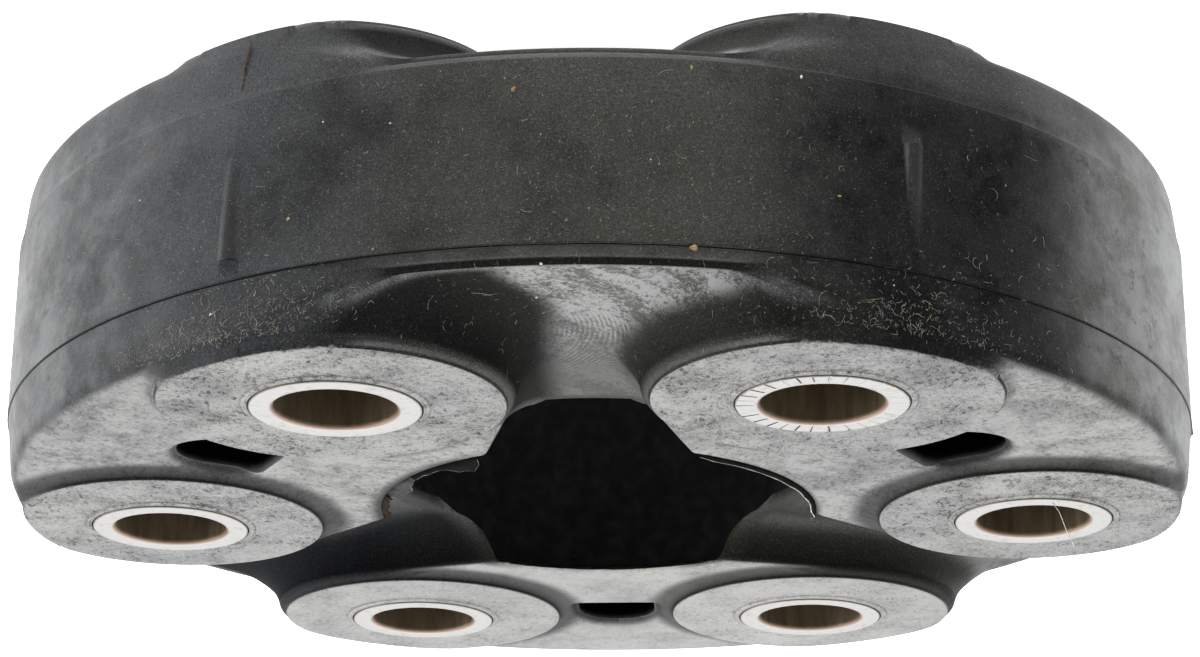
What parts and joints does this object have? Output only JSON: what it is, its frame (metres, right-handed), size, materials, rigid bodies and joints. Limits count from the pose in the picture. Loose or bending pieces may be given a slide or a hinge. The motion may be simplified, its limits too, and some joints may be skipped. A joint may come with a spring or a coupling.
{
  "type": "driveshaft coupling",
  "caption": "Round rubber flex disc with steel bolt sleeves in raised bosses, deep webs between pads and an open centre, for joining driveshaft flanges.",
  "frame": {"origin": "on the shaft axis, half way between the two end faces", "axes": "+Z along the shaft axis, towards the face that the picture shows; +X through sleeve 1"},
  "size_m": [0.132, 0.1306, 0.035],
  "materials": {
    "rubber": "matt moulded rubber, chalky grey on the faces",
    "sleeve_steel": "turned steel with a bright end face",
    "collar_steel": "stamped steel, bonded in the rubber",
    "cord": "wound polyester cord, dipped for bonding"
  },
  "bodies": {
    "root": {"rubber_body": "rubber", "sleeve_1": "sleeve_steel", "sleeve_2": "sleeve_steel", "sleeve_3": "sleeve_steel", "sleeve_4": "sleeve_steel", "sleeve_5": "sleeve_steel", "sleeve_6": "sleeve_steel", "upper_collar_1": "collar_steel", "upper_collar_2": "collar_steel", "upper_collar_3": "collar_steel", "upper_collar_4": "collar_steel", "upper_collar_5": "collar_steel", "upper_collar_6": "collar_steel", "lower_collar_1": "collar_steel", "lower_collar_2": "collar_steel", "lower_collar_3": "collar_steel", "lower_collar_4": "collar_steel", "lower_collar_5": "collar_steel", "lower_collar_6": "collar_steel", "upper_pad_loop_1": "cord", "upper_pad_loop_2": "cord", "upper_pad_loop_3": "cord", "lower_pad_loop_1": "cord", "lower_pad_loop_2": "cord", "lower_pad_loop_3": "cord", "web_loop_1": "cord", "web_loop_2": "cord", "web_loop_3": "cord"}
  },
  "joints": []
}
